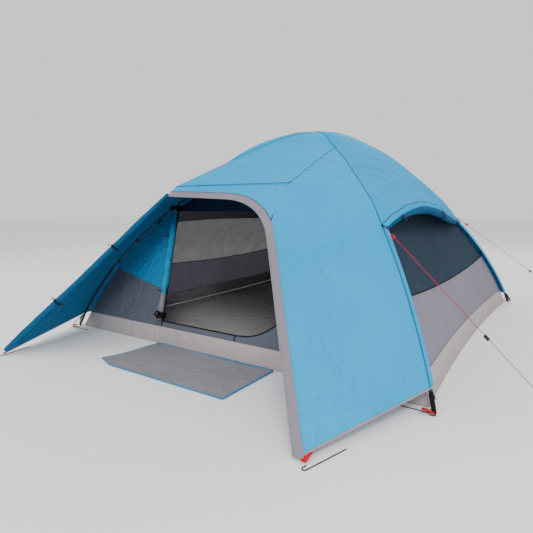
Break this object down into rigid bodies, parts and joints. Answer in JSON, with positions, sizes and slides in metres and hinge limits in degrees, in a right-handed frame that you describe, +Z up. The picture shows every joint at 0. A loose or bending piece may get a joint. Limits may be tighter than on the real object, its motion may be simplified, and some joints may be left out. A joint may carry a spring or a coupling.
{
  "type": "pop up tent",
  "caption": "Dome-shaped pop up tent with a hub frame, elbow-hinged folding legs, a mesh inner tent, and a fly sheet with an open arched porch and rolled side windows.",
  "frame": {"origin": "centre of the floor, on the ground", "axes": "+Z up, -Y towards the porch and its doormat, +X towards the side with the guy lines"},
  "size_m": [3.2617, 3.106, 1.4006],
  "materials": {
    "hub_plastic": "matte moulded nylon",
    "pins": "bright steel",
    "rods": "wrapped glass fibre",
    "fly": "coated polyester",
    "door_cloth": "breathable polyester",
    "trim": "coated polyester",
    "wall_cloth": "breathable polyester",
    "floor_cloth": "woven polyethylene",
    "netting": "fine insect netting",
    "mat_cloth": "woven polyethylene",
    "webbing": "woven webbing",
    "cord": "braided polyester",
    "tensioner": "moulded",
    "peg_steel": "dark coated steel"
  },
  "bodies": {
    "tent": {"floor": "floor_cloth", "band_front": "floor_cloth", "band_right": "floor_cloth", "band_back": "floor_cloth", "band_left": "floor_cloth", "wall_front": "wall_cloth", "wall_right": "wall_cloth", "wall_back": "wall_cloth", "wall_left": "wall_cloth", "mesh_right": "netting", "mesh_back": "netting", "mesh_left": "netting", "door_surround": "door_cloth", "door_roll": "door_cloth", "inner_roof": "netting", "fly_roof_right": "fly", "fly_roof_back": "fly", "fly_roof_left": "fly", "fly_front_top": "fly", "fly_front_right": "fly", "fly_front_left": "fly", "fly_back": "fly", "arch_trim": "trim", "fly_door_roll": "fly", "window_roll_right": "fly", "window_roll_left": "fly", "mat": "mat_cloth", "pegs": "peg_steel", "corner_straps": "webbing", "pole_clips": "hub_plastic", "toggles": "hub_plastic", "guy_near": "cord", "guy_far": "cord", "tensioners": "tensioner"},
    "hub": {"hub_body": "hub_plastic", "hub_cap": "hub_plastic", "hub_pins": "pins"},
    "brow": {"brow_pole": "rods"},
    "runner_near": {"runner_near": "hub_plastic"},
    "runner_far": {"runner_far": "hub_plastic"},
    "arm_1": {"arm_rod_1": "rods", "arm_ends_1": "hub_plastic", "elbow_pin_1": "pins"},
    "leg_1": {"leg_rod_1": "rods", "leg_ends_1": "hub_plastic"},
    "arm_2": {"arm_rod_2": "rods", "arm_ends_2": "hub_plastic", "elbow_pin_2": "pins"},
    "leg_2": {"leg_rod_2": "rods", "leg_ends_2": "hub_plastic"},
    "arm_3": {"arm_rod_3": "rods", "arm_ends_3": "hub_plastic", "elbow_pin_3": "pins"},
    "leg_3": {"leg_rod_3": "rods", "leg_ends_3": "hub_plastic"},
    "arm_4": {"arm_rod_4": "rods", "arm_ends_4": "hub_plastic", "elbow_pin_4": "pins"},
    "leg_4": {"leg_rod_4": "rods", "leg_ends_4": "hub_plastic"}
  },
  "joints": [
    {"name": "hub_drop", "type": "slide", "parent": "tent", "child": "hub", "axis": [0, 0, -1], "range_m": [0, 1.16], "deforming": ["floor", "band_front", "band_right", "band_back", "band_left", "wall_front", "wall_right", "wall_back", "wall_left", "mesh_right", "mesh_back", "mesh_left", "door_surround", "door_roll", "inner_roof", "fly_roof_right", "fly_roof_back", "fly_roof_left", "fly_front_top", "fly_front_right", "fly_front_left", "fly_back", "arch_trim", "fly_door_roll", "window_roll_right", "window_roll_left", "corner_straps", "pole_clips", "toggles", "guy_near", "guy_far", "tensioners"]},
    {"name": "arm_1_hinge", "type": "hinge", "parent": "hub", "child": "arm_1", "pos_m": [0.04473, -0.04294, 1.335], "axis": [-0.6925, -0.7214, 0], "range_deg": [0, 24.05]},
    {"name": "elbow_1_fold", "type": "hinge", "parent": "arm_1", "child": "leg_1", "pos_m": [0.74187, -0.71219, 0.83562], "axis": [0.6925, 0.7214, 0], "range_deg": [0, 152.05]},
    {"name": "arm_2_hinge", "type": "hinge", "parent": "hub", "child": "arm_2", "pos_m": [0.04473, 0.04294, 1.335], "axis": [0.6925, -0.7214, 0], "range_deg": [0, 24.05]},
    {"name": "elbow_2_fold", "type": "hinge", "parent": "arm_2", "child": "leg_2", "pos_m": [0.74187, 0.71219, 0.83562], "axis": [-0.6925, 0.7214, 0], "range_deg": [0, 152.05]},
    {"name": "arm_3_hinge", "type": "hinge", "parent": "hub", "child": "arm_3", "pos_m": [-0.04473, 0.04294, 1.335], "axis": [0.6925, 0.7214, 0], "range_deg": [0, 24.05]},
    {"name": "elbow_3_fold", "type": "hinge", "parent": "arm_3", "child": "leg_3", "pos_m": [-0.74187, 0.71219, 0.83562], "axis": [-0.6925, -0.7214, 0], "range_deg": [0, 152.05]},
    {"name": "arm_4_hinge", "type": "hinge", "parent": "hub", "child": "arm_4", "pos_m": [-0.04473, -0.04294, 1.335], "axis": [-0.6925, 0.7214, 0], "range_deg": [0, 24.05]},
    {"name": "elbow_4_fold", "type": "hinge", "parent": "arm_4", "child": "leg_4", "pos_m": [-0.74187, -0.71219, 0.83562], "axis": [0.6925, -0.7214, 0], "range_deg": [0, 152.05]},
    {"name": "brow_drop", "type": "slide", "parent": "tent", "child": "brow", "axis": [0, 0, -1], "range_m": [0, 0.787]},
    {"name": "runner_near_slide", "type": "slide", "parent": "tent", "child": "runner_near", "axis": [0.7464, -0.3056, -0.5912], "range_m": [-0.4, 0.3]},
    {"name": "runner_far_slide", "type": "slide", "parent": "tent", "child": "runner_far", "axis": [0.7464, 0.3056, -0.5912], "range_m": [-0.4, 0.3]}
  ],
  "couplings": [
    {"joint": "arm_1_hinge", "follows": "hub_drop", "rad_per_m": 0.3611},
    {"joint": "elbow_1_fold", "follows": "hub_drop", "rad_per_m": 2.287},
    {"joint": "arm_2_hinge", "follows": "hub_drop", "rad_per_m": 0.3611},
    {"joint": "elbow_2_fold", "follows": "hub_drop", "rad_per_m": 2.287},
    {"joint": "arm_3_hinge", "follows": "hub_drop", "rad_per_m": 0.3611},
    {"joint": "elbow_3_fold", "follows": "hub_drop", "rad_per_m": 2.287},
    {"joint": "arm_4_hinge", "follows": "hub_drop", "rad_per_m": 0.3611},
    {"joint": "elbow_4_fold", "follows": "hub_drop", "rad_per_m": 2.287},
    {"joint": "brow_drop", "follows": "hub_drop", "ratio": 0.67759}
  ]
}
